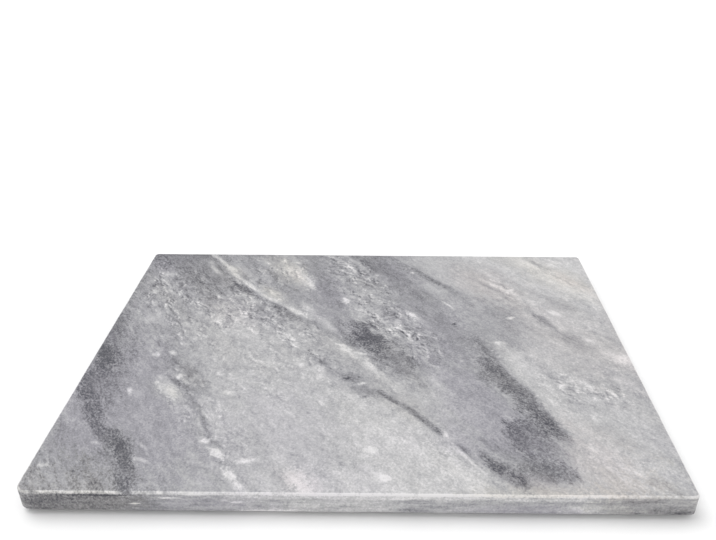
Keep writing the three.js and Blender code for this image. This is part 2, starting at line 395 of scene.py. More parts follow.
# White spots, dashes and thin lines
WHITE_SPOTS = strokes(
    ("right vein, knot", 124, 84, 60, 6, 4, 0.1, 0.90),
    ("right white patch", 156, 49, -35, 11, 4.5, 0.1, 0.87),
    ("right cluster, blob", 142, -46, 0, 5, 4.2, 0.2, 0.87),
    ("right side rose, strand", 192, -18, -42, 9, 2.4, 0.1, 0.88),
    ("right front dash", 147, -111, -50, 7, 2.8, 0.0, 0.87),
    ("right front dash, corner", 170, -132, -50, 9, 2.8, 0.0, 0.86),
    ("edge of the wedge", 69, -122, -58, 28, 1.8, 0.1, 0.86),
    ("fleck at the fissure", 56, -98, -70, 5, 2.4, 0.1, 0.87),
    ("bar above the fissure", 0, -46, 12, 6, 2.4, 0.1, 0.86),
    ("front left vein, spot", -131, -40, -20, 5, 4.5, 0.1, 0.86),
    ("spot behind the front left vein", -92, -59, -10, 6, 3.8, 0.3, 0.85),
    ("front left vein, bright", -89, -118, -45, 10, 4.4, 0.3, 0.87),
    ("front left vein, foot", -77, -136, -52, 10, 5, 0.2, 0.88),
    ("front left vein, end", -69, -147, -40, 9, 5, 0.2, 0.88),
    ("spot left of the line", -98, -106, 0, 5, 3.6, 0.3, 0.87),
    ("front spots", -68, -124, 5, 8.5, 3.6, 0.3, 0.88),
    ("triangle spot", -46, -25, -60, 6, 4, 0.1, 0.84),
    ("dash on the main vein", -17, 1, -10, 7, 2.6, 0.3, 0.88),
    ("dash on the main vein, middle", -12, -6, -30, 5, 3, 0.3, 0.88),
    ("dash on the main vein, front", -3, -10, -15, 7, 2.2, 0.3, 0.87),
    ("line on the main vein", 9, -27, -56, 14, 2.2, 0.2, 0.85),
    ("cream spot", -29, -39, -60, 4.5, 4, 0.3, 0.85),
    ("cream spot, back", -31, -29, -50, 6, 3.6, 0.2, 0.84),
    ("front spot", 18, -137, -10, 5.5, 3.6, 0.45, 0.92),
    ("front spot, left", 8, -114, -40, 5.5, 4.4, 0.45, 0.91),
    ("left spot", -161, -56, -60, 6, 3.2, 0.1, 0.87),
    ("left flecks, front", -154, -14, -30, 5, 3.2, 0.3, 0.79),
    ("left flecks, right", -142, -11, -40, 4.5, 3.2, 0.3, 0.8),
    ("left flecks, back", -137, 1, -40, 5.5, 2.4, 0.3, 0.78),
    ("curved line, left", -136, -111, -30, 9, 2.2, 0.0, 0.8),
    ("curved line, left front", -131, -124, -15, 11, 2.2, 0.0, 0.79),
    ("dash left of the band", -166, -108, -20, 6, 2.4, 0.0, 0.78),
    ("corner mark", -191, -129, 10, 6, 3, 0.0, 0.8),
    ("dash in the pale field", -75, -21, -35, 7, 2.6, 0.0, 0.84),
    ("dash in the pale field, front", -27, -67, -60, 7, 2.8, 0.0, 0.86),
    ("white speck, back", 42, 116, 0, 3.5, 3, 0.1, 0.86),
    ("white speck, middle", 68, 61, -52, 12, 2.2, 0.1, 0.85),
    ("white speck, right", 119, 41, 30, 4, 3, 0.1, 0.86),
    ("white speck, far right", 173, 9, 0, 5, 3.4, 0.1, 0.87),
    ("white speck by the band", 104, 6, -30, 5, 3.6, 0.1, 0.86),
    ("white bar by the centre", 38, 45, -50, 8.5, 2.8, 0.4, 0.91),
    ("white spot by the cloud", -16, 68, -72, 9, 3.6, 0.1, 0.88),
)

# The sawn front: below the working face the layers run on towards the front, so the strokes
# in front of the board's edge are the ones that the front face cuts through
SAWN_FRONT = strokes(
    ("front left, dark", -175, -200, 0, 62, 75, 0.3, 0.53),
    ("front left, low", -180, -226, 0, 40, 20, 0.0, 0.57),
    ("front left, grey", -128, -205, 0, 34, 70, 0.3, 0.585),
    ("front left, violet", -92, -205, 0, 36, 70, 0.3, 0.68),
    ("front middle, left", -60, -205, 0, 36, 70, 0.3, 0.715),
    ("front middle", -8, -205, 0, 60, 70, 0.4, 0.79),
    ("front middle, right", 62, -205, 0, 46, 70, 0.3, 0.725),
    ("front right, lilac", 112, -215, 0, 40, 60, 0.2, 0.695),
    ("front right, pale", 135, -214, 0, 26, 36, 0.2, 0.8),
    ("front right end", 174, -200, 0, 38, 70, 0.3, 0.665),
    ("pale under the arris", 25, -166, 0, 140, 17, 0.2, 0.84),
    ("front right, under the arris", 124, -170, 0, 36, 17, 0.1, 0.83),
    ("dark under the arris, left", -182, -176, 0, 28, 20, 0.1, 0.5),
    ("dark line under the arris", -153, -165, 0, 32, 6, 0.2, 0.41),
    ("front right end, line", 170, -176, 0, 20, 7, 0.1, 0.55),
    ("front right end, dark", 188, -226, 0, 34, 18, 0.1, 0.54),
    ("white dash", -109, -176, 0, 9, 5, 0.3, 0.92),
    ("low white dash", -130, -205, 0, 5, 5, 0.3, 0.90),
    ("white dash, middle", -70, -193, 0, 6, 6, 0.2, 0.88),
    ("pale lens under the arris", -96, -164, 0, 14, 12, 0.1, 0.80),
    ("low pale streak", -50, -236, 0, 30, 12, 0.2, 0.9),
    ("grey lens, left", -64, -207, 0, 12, 9, 0.0, 0.64),
    ("grey lens", -47, -186, 0, 14, 8, 0.0, 0.67),
    ("grey lens, middle", -3, -211, 0, 10, 7, 0.0, 0.66),
    ("grey lens, right", 35, -180, 0, 14, 7, 0.0, 0.63),
    ("low grey lens, right", 31, -223, 0, 14, 9, 0.0, 0.58),
    ("long grey lens, right", 46, -206, 0, 18, 8, 0.0, 0.64),
)

# How pale the bruise and the painted highlight on the eased front edge are, against their full strength
ARRIS_BRUISE_AND_HIGHLIGHT = strokes(
    ("left end", -172, -156, 0, 46, 40, 0.3, 1.15),
    ("gap at the band", -133, -156, 0, 6, 40, 0.1, 0.1),
    ("right end", 176, -156, 0, 34, 40, 0.2, 0.5),
)

# Where the stone is more violet (above nought) or more cream (below nought)
TINT_STROKES = strokes(
    ("left violet field", -151, -71, -64, 136, 62, 0.2, 1.15),
    ("left edge violet", -185, -71, -76, 124, 28, 0.1, 1.5),
    ("back left cloud", -179, 131, -25, 50, 32, 0.0, 0.9),
    ("grey beside the main vein", -137, 102, -50, 90, 38, 0.1, -0.35),
    ("middle blue cloud", -35, 80, -66, 76, 28, 0.0, 0.9),
    ("central violet", -6, 17, -62, 50, 20, 0.0, 0.7),
    ("back middle violet", 25, 114, -66, 66, 24, 0.0, 0.7),
    ("grey right of the middle", 60, 21, -60, 76, 36, 0.0, 0.6),
    ("right lilac field", 84, -73, -62, 100, 40, 0.2, 1.2),
    ("front pale field", -45, -112, -50, 110, 60, 0.2, 0.6),
    ("lilac beside the wedge", 64, -104, -55, 40, 18, 0.0, 1.1),
    ("front left violet", -86, -200, 0, 60, 60, 0.1, 0.8),
    ("front left grey", -172, -200, 0, 66, 90, 0.5, -0.9),
    ("front right blue", 112, -222, 0, 64, 36, 0.2, 1.6),
    ("front right grey", 172, -200, 0, 62, 90, 0.4, -0.8),
    ("main vein, knot", -119, 118, -50, 24, 11, 0.0, -0.9),
    ("main vein, broad", -80, 78, -45, 26, 10, 0.0, -1.2),
    ("cream crystal", -69, 120, -60, 60, 28, 0.0, -0.95),
    ("left cream patch", -135, -55, -48, 26, 12, 0.0, -0.4),
    ("back right cream", 166, 114, -52, 96, 34, 0.0, -0.75),
    ("front right cream", 112, -151, 0, 70, 16, 0.0, -1.3),
    ("grey of the central cloud", 28, -31, -58, 56, 22, 0.1, -0.15),
    ("grey of the fissure", 36, -80, -46, 44, 10, 0.0, -0.3),
    ("grey of the right band", 112, -59, -61, 64, 20, 0.1, -0.25),
    ("grey of the front knot", 107, -130, -30, 36, 13, 0.0, -0.15),
    ("grey of the heart", -150, -114, -58, 40, 13, 0.0, -0.15),
    ("grey of the left knot", -193, -13, -64, 30, 13, 0.0, -0.2),
    ("grey of the left olive shade", -123, -35, -56, 44, 22, 0.0, -0.3),
)

# Where the stone is rosy
ROSE_STROKES = strokes(
    ("cream crystal", -61, 110, -60, 24, 11, 0.0, 0.5),
    ("left middle", -109, 47, -45, 50, 26, 0.0, 0.5),
    ("front patch", -36, -141, -40, 26, 14, 0.0, 0.9),
    ("front right patch", 113, -143, -20, 36, 14, 0.0, 0.9),
    ("front right field", 151, -130, -70, 70, 36, 0.0, 1.1),
    ("right side", 191, -14, -50, 36, 20, 0.0, 1.5),
    ("back right", 180, 102, -55, 34, 12, 0.0, 1.0),
    ("right", 160, 16, -60, 120, 60, 0.1, 0.6),
    ("behind the right vein", 104, 97, -55, 60, 34, 0.1, 1.1),
)

# Where the stone is crumbly, with white crystals and dark gaps between them
CRUMBLY_STROKES = strokes(
    ("by the centre", 24, 25, -60, 70, 30, 0.3, 1.3),
    ("behind the centre", -5, 98, -62, 90, 28, 0.3, 1.0),
    ("under the main vein", -89, 47, -42, 80, 32, 0.3, 1.0),
    ("left of the middle", -52, 3, -52, 64, 28, 0.2, 0.9),
    ("cream crystal", -81, 127, -60, 60, 30, 0.2, 0.9),
    ("front left vein", -112, -69, -56, 110, 22, 0.2, 0.55),
    ("left", -156, 72, -50, 110, 60, 0.3, 0.9),
    ("right", 159, -49, -12, 64, 26, 0.1, 0.65),
    ("right vein", 122, 87, -48, 50, 12, 0.1, 0.7),
    ("front left corner", -191, -130, -40, 28, 16, 0.1, 0.45),
    ("main vein", -87, 78, -46, 90, 16, 0.2, 0.8),
    ("middle", 20, -19, -58, 60, 34, 0.2, 0.5),
    ("pale field", -70, -35, -50, 80, 40, 0.2, 0.4),
)


class NodeBench:
    """Adds nodes to one tree. What a socket is given is either another socket or a constant."""

    def __init__(self, tree):
        self.tree = tree

    def feed(self, socket, value):
        if isinstance(value, bpy.types.NodeSocket):
            self.tree.links.new(value, socket)
        else:
            socket.default_value = value

    def add(self, kind, inputs=None, output=0, label="", **settings):
        """A new node's output, or the node itself where it has none."""
        node = self.tree.nodes.new(kind)
        node.label = label
        for name, value in settings.items():
            setattr(node, name, value)
        for key, value in (inputs or {}).items():
            self.feed(node.inputs[key], value)
        return node.outputs[output] if node.outputs else node

    def math(self, operation, *values):
        return self.add("ShaderNodeMath", dict(enumerate(values)), operation=operation)

    def vector(self, operation, *values):
        return self.add("ShaderNodeVectorMath", dict(enumerate(values)), operation=operation)

    def scaled(self, vector, factor):
        inputs = {0: vector, "Scale": factor}
        return self.add("ShaderNodeVectorMath", inputs, operation="SCALE")

    def join(self, x=0.0, y=0.0, z=0.0):
        return self.add("ShaderNodeCombineXYZ", {"X": x, "Y": y, "Z": z})

    def split(self, vector):
        return self.add("ShaderNodeSeparateXYZ", {"Vector": vector}).node.outputs

    def equals(self, value, number):
        """1 where a whole value is the number, and 0 elsewhere."""
        return self.math("COMPARE", value, number, 0.5)

    def fade(self, value, start, end, low=0.0, high=1.0):
        """A smooth step that is low at start and high at end."""
        inputs = {"Value": value, "From Min": start, "From Max": end, "To Min": low, "To Max": high}
        return self.add("ShaderNodeMapRange", inputs, interpolation_type="SMOOTHSTEP")

    def centred(self, noise, height):
        """A noise moved to swing about nought, up to about half the height each way."""
        return self.math("MULTIPLY_ADD", noise, height, -height / 2)

    def swing(self, value, noise, height):
        """The value moved by a noise, up to about half the height each way."""
        return self.math("MULTIPLY_ADD", self.math("SUBTRACT", noise, 0.5), height, value)

    def noise(self, place, detail, roughness=0.5, output="Fac", scale=1.0):
        inputs = {"Vector": place, "Scale": scale, "Detail": detail, "Roughness": roughness}
        return self.add("ShaderNodeTexNoise", inputs, output)

    def mix_colour(self, factor, first, second, blend_type="MIX"):
        inputs = {0: factor, 6: first, 7: second}
        return self.add("ShaderNodeMix", inputs, 2, data_type="RGBA", blend_type=blend_type)

    def surface(self, skin):
        """The material's shader with its skin, on the material's output."""
        shader = self.add("ShaderNodeBsdfPrincipled", skin)
        self.add("ShaderNodeOutputMaterial", {"Surface": shader})


def sockets(kind, *names):
    """Named sockets of one kind, as new_tree takes them."""
    return [(name, "NodeSocket" + kind) for name in names]


def new_tree(name, kind, inputs, outputs):
    """An empty node tree with named sockets, its bench, and its input and output nodes."""
    tree = bpy.data.node_groups.new(name, kind)
    for socket_name, socket_type in inputs:
        tree.interface.new_socket(socket_name, in_out="INPUT", socket_type=socket_type)
    for socket_name, socket_type in outputs:
        tree.interface.new_socket(socket_name, in_out="OUTPUT", socket_type=socket_type)
    enter = tree.nodes.new("NodeGroupInput").outputs
    leave = tree.nodes.new("NodeGroupOutput").inputs
    return tree, NodeBench(tree), enter, leave


def new_material(name):
    """A material whose node tree is empty."""
    material = bpy.data.materials.new(name)
    material.use_nodes = True
    material.node_tree.nodes.clear()
    return material


# Stone


def stroke_group():
    """One stroke laid over the tone below it, with its rim torn by the grain."""
    inputs = [
        *sockets("Vector", "Place"),
        *sockets("Float", "Grain", "Under"),
        *sockets("Vector", "Centre", "Turn", "Reach"),
        *sockets("Float", "Core", "Tone"),
    ]
    outputs = sockets("Float", "Tone")
    tree, bench, enter, leave = new_tree("Stone Stroke", "ShaderNodeTree", inputs, outputs)
    # The tone below rides along as a height that the reach flattens, so that the renderer
    # finishes one stroke before it starts the next and never holds them all at once
    ground = bench.vector("MULTIPLY_ADD", enter["Under"], (0, 0, 1), enter["Place"])
    mapping = {
        "Vector": ground,
        "Location": enter["Centre"],
        "Rotation": enter["Turn"],
        "Scale": enter["Reach"],
    }
    local = bench.add("ShaderNodeMapping", mapping, vector_type="TEXTURE")
    reach = bench.vector("LENGTH", local).node.outputs["Value"]
    torn = bench.math("ADD", reach, enter["Grain"])
    mask = bench.fade(torn, 1.0, enter["Core"])
    laid = {0: mask, 2: enter["Under"], 3: enter["Tone"]}
    bench.feed(leave["Tone"], bench.add("ShaderNodeMix", laid, data_type="FLOAT"))
    return tree


class StoneBench(NodeBench):
    """The stone's bench: where its layers and its grain run, and the noises that its parts share."""

    def __init__(self, tree, stone):
        super().__init__(tree)
        self.stroke = stroke_group()
        self.grain_turn = math.radians(stone.grain_turn)
        place = self.scaled(self.add("ShaderNodeTexCoord", output="Object"), 1 / MM)
        at = self.split(place)
        self.depth = self.math("MAXIMUM", self.math("SUBTRACT", slab_high.z / MM, at["Z"]), 0.0)

        wander = self.scaled(place, 1 / stone.wander_size)
        wander = self.noise(wander, WANDER_DETAIL, WANDER_ROUGHNESS, "Color")
        wander = self.vector("SUBTRACT", wander, (0.5, 0.5, 0.5))
        wander = self.vector("MULTIPLY", wander, (stone.wander, stone.wander, 0))
        wandered = self.vector("ADD", place, wander)

        # Below the working face the layers slope off, so the sawn sides cut them at a low angle
        dipped = self.vector("MULTIPLY_ADD", self.depth, (0, stone.dip, 0), wandered)
        self.drawn = self.vector("MULTIPLY", dipped, (1, 1, 0))

        # The grain runs more steeply towards the left side
        left = self.math("MAXIMUM", self.math("SUBTRACT", LEAN_START, at["X"]), 0.0)
        lean = self.math("MULTIPLY", self.math("MULTIPLY", left, left), LEAN_RATE)
        self.leaning = self.vector("ADD", wandered, self.join(0.0, lean))

        self.tear = self.grained(TEAR)
        self.streak = self.grained(STREAK)
        self.cloud = self.grained(CLOUD)
        self.blotch = self.grained(BLOTCH)
        self.grit = self.grained(GRIT)
        self.pepper = self.grained(PEPPER)
        self.mottle = self.grained(MOTTLE)
        rim = self.swing(self.centred(self.tear, RIM_TEAR), self.streak, RIM_STREAK)
        self.rim = self.swing(rim, self.pepper, RIM_PEPPER)

    def along(self, grain, shift=(0, 0, 0)):
        """Places measured along, across and through the grain, in sizes of the grain."""
        inputs = {
            "Vector": self.vector("ADD", self.leaning, shift),
            "Rotation": (0, 0, self.grain_turn),
            "Scale": (grain.length, grain.width, grain.thickness),
        }
        return self.add("ShaderNodeMapping", inputs, vector_type="TEXTURE")

    def grained(self, grain, shift=(0, 0, 0), output="Fac"):
        """The grain's noise."""
        return self.noise(self.along(grain, shift), grain.detail, grain.roughness, output)

    def lay(self, drawing, rim, under):
        """Lays each stroke of a drawing over the last and returns the tone on top."""
        for stroke in drawing:
            inputs = {
                "Place": self.drawn,
                "Grain": rim,
                "Under": under,
                "Centre": (stroke.x, stroke.y, 0),
                "Turn": (0, 0, math.radians(stroke.turn)),
                "Reach": (stroke.length, stroke.width, FLAT),
                "Core": stroke.core,
                "Tone": stroke.tone,
            }
            under = self.add("ShaderNodeGroup", inputs, "Tone", stroke.name, node_tree=self.stroke)
        return under


def drawn_stone(bench, stone):
    """The stone's tone, tint, rose cast and crumbliness, as its strokes lay them."""
    broken = bench.swing(bench.rim, bench.mottle, VEIN_MOTTLE)
    calm = bench.centred(bench.mottle, SPOT_MOTTLE)
    tone = bench.lay(FIELDS + DARK_BANDS, bench.rim, stone.base_tone)
    tone = bench.lay(PALE_VEINS, broken, tone)
    tone = bench.lay(WHITE_SPOTS, calm, tone)
    tone = bench.lay(SAWN_FRONT, bench.rim, tone)
    tint = bench.lay(TINT_STROKES, bench.rim, 0.0)
    tint = bench.swing(tint, bench.cloud, TINT_CLOUD)
    rose = bench.lay(ROSE_STROKES, bench.rim, 0.0)
    crumbly = bench.lay(CRUMBLY_STROKES, bench.rim, CRUMBLY_BASE)
    return tone, tint, rose, crumbly


def grained_tone(bench, tone, crumbly):
    """The tone with the stone's clouds, streaks, blotches, beds and grains."""
    tone = bench.swing(tone, bench.cloud, TONE_CLOUD)
    tone = bench.swing(tone, bench.streak, TONE_STREAK)
    blotchy = bench.math("MULTIPLY_ADD", crumbly, CRUMBLY_BLOTCH, TONE_BLOTCH)
    tone = bench.swing(tone, bench.blotch, blotchy)
    sawn = bench.fade(bench.depth, *SAWN_FADE)
    bed = bench.grained(BED)
    tone = bench.swing(tone, bed, bench.math("MULTIPLY_ADD", sawn, SAWN_BED, TONE_BED))

    # Dark stone is peppered with darker grains, and pale stone only lightly grained
    tone = bench.swing(tone, bench.pepper, bench.fade(tone, *DARK_FADE, high=DARK_PEPPER))
    tone = bench.swing(tone, bench.grit, TONE_GRIT)
    mottled = bench.math("MULTIPLY_ADD", crumbly, CRUMBLY_MOTTLE, TONE_MOTTLE)
    return bench.swing(tone, bench.mottle, mottled)


def crumbled_tone(bench, tone, crumbly):
    """The tone with pale flakes and small crystals where the stone is crumbly."""
    # Flakes lie along strings of the grain, each with a dark gap at one side: partly the stone's own
    # gaps, partly painted shade, as a relief lit from one side would show
    crumbs = bench.math("MULTIPLY", crumbly, bench.fade(bench.grained(STRING), *STRING_FADE))
    near = bench.fade(bench.grained(FLAKE), *FLAKE_FADE)
    far = bench.fade(bench.grained(FLAKE, FLAKE_GAP_SHADE_SHIFT), *FLAKE_FADE)
    relief = bench.math("MULTIPLY", bench.math("SUBTRACT", near, far), crumbs)
    tone = bench.math("MULTIPLY_ADD", relief, FLAKE_TONE, tone)

    # Crystals are small cells, each of its own tone and darker at its rim
    jitter = bench.grained(CRYSTAL, output="Color")
    cells = bench.vector("MULTIPLY_ADD", jitter, [CRYSTAL_JITTER] * 3, bench.along(CRYSTAL))
    cell = bench.add("ShaderNodeTexVoronoi", {"Vector": cells, "Scale": 1.0}).node.outputs
    crystal = bench.math("SUBTRACT", bench.split(cell["Color"])["X"], cell["Distance"])
    return bench.math("MULTIPLY_ADD", crystal, bench.math("MULTIPLY", crumbs, CRYSTAL_TONE), tone)


def bruised_and_highlit_tone(bench, stone, tone):
    """The tone with the eased edge paler, from bruising and a painted highlight, down to a ragged line.
    """
    ragged = bench.swing(bench.depth, bench.blotch, BRUISE_HIGHLIGHT_RAGGED)
    start = bench.fade(bench.depth, *BRUISE_HIGHLIGHT_START)
    bruise_and_highlight = bench.math("MULTIPLY", start, bench.fade(ragged, *BRUISE_HIGHLIGHT_END))
    patches = bench.fade(bench.tear, *BRUISE_HIGHLIGHT_PATCH, *BRUISE_HIGHLIGHT_RANGE)
    bruise_and_highlight = bench.math("MULTIPLY", bruise_and_highlight, patches)
    bruise_and_highlight = bench.math("MULTIPLY", bruise_and_highlight, bench.lay(ARRIS_BRUISE_AND_HIGHLIGHT, bench.rim, 1.0))
    return bench.math("MULTIPLY_ADD", bruise_and_highlight, stone.bruise_and_highlight, tone)


def stone_colour(bench, stone, tone, tint, rose):
    """The tone turned into the stone's greys, with the cast of each field."""
    ramp = bench.add("ShaderNodeValToRGB", {"Fac": tone})
    stops = ramp.node.color_ramp.elements
    greys = (stone.darkest, stone.dark, stone.middle, stone.pale, stone.white)
    while len(stops) < len(greys):
        stops.new(1.0)
    for stop, position, grey in zip(stops, GREY_TONES, greys):
        stop.position = position
        stop.color = (*grey, 1)
    violet = bench.math("MAXIMUM", tint, 0.0)
    cream = bench.math("MAXIMUM", bench.math("MULTIPLY", tint, -1.0), 0.0)
    colour = bench.mix_colour(violet, ramp, (*stone.violet, 1), "MULTIPLY")
    colour = bench.mix_colour(cream, colour, (*stone.cream, 1), "MULTIPLY")
    return bench.mix_colour(rose, colour, (*stone.rose, 1), "MULTIPLY")


def marble_material(stone):
    material = new_material("honed marble")
    bench = StoneBench(material.node_tree, stone)
    tone, tint, rose, crumbly = drawn_stone(bench, stone)
    tone = grained_tone(bench, tone, crumbly)
    tone = crumbled_tone(bench, tone, crumbly)
    tone = bruised_and_highlit_tone(bench, stone, tone)
    colour = stone_colour(bench, stone, tone, tint, rose)
    gloss = bench.math("ADD", bench.centred(bench.grit, GLOSS_GRIT), stone.roughness)
    grit = bench.math("MULTIPLY", bench.grit, RELIEF_GRIT)
    height = bench.math("ADD", grit, bench.math("MULTIPLY", bench.streak, RELIEF_STREAK))
    bump = {"Strength": RELIEF_BUMP, "Distance": RELIEF_HEIGHT, "Height": height}
    normal = bench.add("ShaderNodeBump", bump)
    bench.surface({"Base Color": colour, "Roughness": gloss, "Normal": normal})
    return material


# Feet and pads


def grain_group():
    """A fine surface grain: its mask, and a normal that follows it."""
    inputs = sockets("Float", "Size", "Height")
    outputs = sockets("Float", "Mask") + sockets("Vector", "Normal")
    tree, bench, enter, leave = new_tree(GRAIN_GROUP, "ShaderNodeTree", inputs, outputs)
    place = bench.add("ShaderNodeTexCoord", output="Object")
    scale = bench.math("DIVIDE", 1.0, enter["Size"])
    mask = bench.noise(place, FINE_DETAIL, FINE_ROUGHNESS, scale=scale)
    bump = {"Strength": FINE_BUMP, "Distance": enter["Height"], "Height": mask}
    bench.feed(leave["Mask"], mask)
    bench.feed(leave["Normal"], bench.add("ShaderNodeBump", bump))
    return tree


def grained_material(name, colour, dust_and_shade_colour, finish):
    """A moulded or foamed stuff whose colour and gloss follow its grain."""
    material = new_material(name)
    bench = NodeBench(material.node_tree)
    group = bpy.data.node_groups.get(GRAIN_GROUP) or grain_group()
    inputs = {"Size": finish.grain_size, "Height": finish.grain_height}
    mask = bench.add("ShaderNodeGroup", inputs, "Mask", node_tree=group)
    normal = mask.node.outputs["Normal"]
    # Where the grain's mask is high the colour turns to the second one: dust on the rubber, painted
    # shade in the foam's cells
    shade = bench.mix_colour(bench.fade(mask, *DUST_AND_SHADE_FADE), (*colour, 1), (*dust_and_shade_colour, 1))
    gloss = bench.math("ADD", bench.centred(mask, FINE_GLOSS), finish.roughness)
    bench.surface({"Base Color": shade, "Roughness": gloss, "Normal": normal})
    return material


# Shapes


def lifted(bench, geometry, height):
    """The geometry moved up."""
    inputs = {"Geometry": geometry, "Offset": bench.join(0.0, 0.0, height)}
    return bench.add("GeometryNodeSetPosition", inputs)


def merged(bench, geometry):
    """The geometry with the points that meet made one."""
    inputs = {"Geometry": geometry, "Distance": MERGE_DISTANCE}
    return bench.add("GeometryNodeMergeByDistance", inputs)


def rounded(bench, curve, radius, steps):
    """The curve with its corners rounded, in short straight steps."""
    inputs = {"Curve": curve, "Count": steps, "Radius": radius}
    return bench.add("GeometryNodeFilletCurve", inputs, mode="POLY")


def open_profile(bench, points, near_radius, far_radius, steps):
    """A line through four points whose second and third corners are rounded.

    Each point is a distance in from the swept outline and a height. A sweep turns both round.
    """
    inputs = {}
    for number, (inward, height) in enumerate(points, 1):
        inputs["Point %d" % number] = bench.scaled(bench.join(inward, height), -1.0)
    line = bench.add("GeometryNodeCurvePrimitiveQuadrilateral", inputs, mode="POINTS")
    line = bench.add("GeometryNodeSetSplineCyclic", {"Geometry": line, "Cyclic": False})
    index = bench.add("GeometryNodeInputIndex")
    radius = bench.math("MULTIPLY", bench.equals(index, 1), near_radius)
    radius = bench.math("MULTIPLY_ADD", bench.equals(index, 2), far_radius, radius)
    return rounded(bench, line, radius, steps)


def swept(bench, rail, edge):
    """The edge carried round the rail, with its faces turned outwards."""
    mesh = bench.add("GeometryNodeCurveToMesh", {"Curve": rail, "Profile Curve": edge})
    return bench.add("GeometryNodeFlipFaces", {"Mesh": mesh})


def joined(bench, parts):
    join = bench.tree.nodes.new("GeometryNodeJoinGeometry")
    for part in parts:
        bench.tree.links.new(part, join.inputs[0])
    return join.outputs[0]


def finish_tree(bench, geometry, enter, leave):
    """The end that every shape shares: smooth, real faces with their material."""
    geometry = bench.add("GeometryNodeSetShadeSmooth", {"Geometry": geometry})
    geometry = bench.add("GeometryNodeRealizeInstances", {"Geometry": geometry})
    inputs = {"Geometry": geometry, "Material": enter["Material"]}
    bench.feed(leave["Geometry"], bench.add("GeometryNodeSetMaterial", inputs))


def slab_outline(bench, enter):
    """The slab seen from above, with the front left corner worn rounder than the other three."""
    size = {"Width": enter["Length"], "Height": enter["Depth"]}
    outline = bench.add("GeometryNodeCurvePrimitiveQuadrilateral", size, mode="RECTANGLE")
    at = bench.split(bench.add("GeometryNodeInputPosition"))
    left = bench.math("LESS_THAN", at["X"], 0.0)
    front = bench.math("LESS_THAN", at["Y"], 0.0)
    worn = bench.math("MULTIPLY", left, front)
    extra = bench.math("SUBTRACT", enter["Worn Corner Radius"], enter["Corner Radius"])
    radius = bench.math("MULTIPLY_ADD", worn, extra, enter["Corner Radius"])
    outline = rounded(bench, outline, radius, CORNER_STEPS)
    inputs = {"Curve": outline, "Length": enter["Spacing"]}
    return bench.add("GeometryNodeResampleCurve", inputs, mode="LENGTH")


def slab_side(bench, enter):
    """The slab's edge, from the underside round both arrises to the working face, all round."""
    low_inset = bench.math("ADD", enter["Bottom Arris"], enter["Land"])
    high_inset = bench.math("ADD", enter["Top Arris"], enter["Land"])
    points = [
        (low_inset, 0.0),
        (0.0, 0.0),
        (0.0, enter["Thickness"]),
        (high_inset, enter["Thickness"]),
    ]
    edge = open_profile(bench, points, enter["Bottom Arris"], enter["Top Arris"], ARRIS_STEPS)
    side = swept(bench, slab_outline(bench, enter), edge)
    return lifted(bench, side, enter["Base"])


def slab_caps(bench, enter, side):
    """The working face and the underside, each filled in from an open rim of the side."""
    top = bench.math("ADD", enter["Base"], enter["Thickness"])
    middle = bench.math("MULTIPLY_ADD", enter["Thickness"], 0.5, enter["Base"])
    height = bench.split(bench.add("GeometryNodeInputPosition"))["Z"]
    rim = bench.equals(bench.add("GeometryNodeInputMeshEdgeNeighbors"), 1)
    caps = []
    for above, level in ((True, top), (False, enter["Base"])):
        half = bench.math("GREATER_THAN" if above else "LESS_THAN", height, middle)
        loop = {"Mesh": side, "Selection": bench.math("MULTIPLY", rim, half)}
        loop = bench.add("GeometryNodeMeshToCurve", loop)
        cap = bench.add("GeometryNodeFillCurve", {"Curve": loop}, mode="NGONS")
        cap = lifted(bench, cap, level)
        if not above:
            cap = bench.add("GeometryNodeFlipFaces", {"Mesh": cap})
        caps.append(cap)
    return caps


def chipped(bench, enter, side):
    """The side with its arrises pressed in, most where they lean halfway, by wear and small nicks."""
    normal = bench.add("GeometryNodeInputNormal")
    upward = bench.split(normal)["Z"]
    square = bench.math("MULTIPLY", upward, upward)
    lean = bench.math("SQRT", bench.math("SUBTRACT", square, bench.math("MULTIPLY", square, square)))
    position = bench.add("GeometryNodeInputPosition")
    noise = {"Vector": position, "W": enter["Seed"], "Detail": CHIP_DETAIL}
    wear = bench.add("ShaderNodeTexNoise", {**noise, "Scale": WEAR_SCALE}, noise_dimensions="4D")
    nick = bench.add("ShaderNodeTexNoise", {**noise, "Scale": NICK_SCALE}, noise_dimensions="4D")
    chip = bench.math("ADD", bench.fade(wear, *WEAR_FADE), bench.fade(nick, *NICK_FADE))
    press = bench.math("MULTIPLY", bench.math("MULTIPLY", chip, lean), enter["Chip Depth"])
    push = bench.scaled(normal, bench.math("MULTIPLY", press, -1.0))
    return bench.add("GeometryNodeSetPosition", {"Geometry": side, "Offset": push})


def slab_tree():
    """A rounded rectangle swept by the slab's edge, capped above and below."""
    inputs = [
        *sockets("Float", "Length", "Depth", "Base", "Thickness", "Corner Radius", "Worn Corner Radius"),
        *sockets("Float", "Top Arris", "Bottom Arris", "Land", "Spacing", "Chip Depth", "Seed"),
        *sockets("Material", "Material"),
    ]
    outputs = sockets("Geometry", "Geometry")
    tree, bench, enter, leave = new_tree("Stone Slab", "GeometryNodeTree", inputs, outputs)
    side = slab_side(bench, enter)
    caps = slab_caps(bench, enter, side)
    whole = joined(bench, [chipped(bench, enter, side), *caps])
    finish_tree(bench, merged(bench, whole), enter, leave)
    return tree


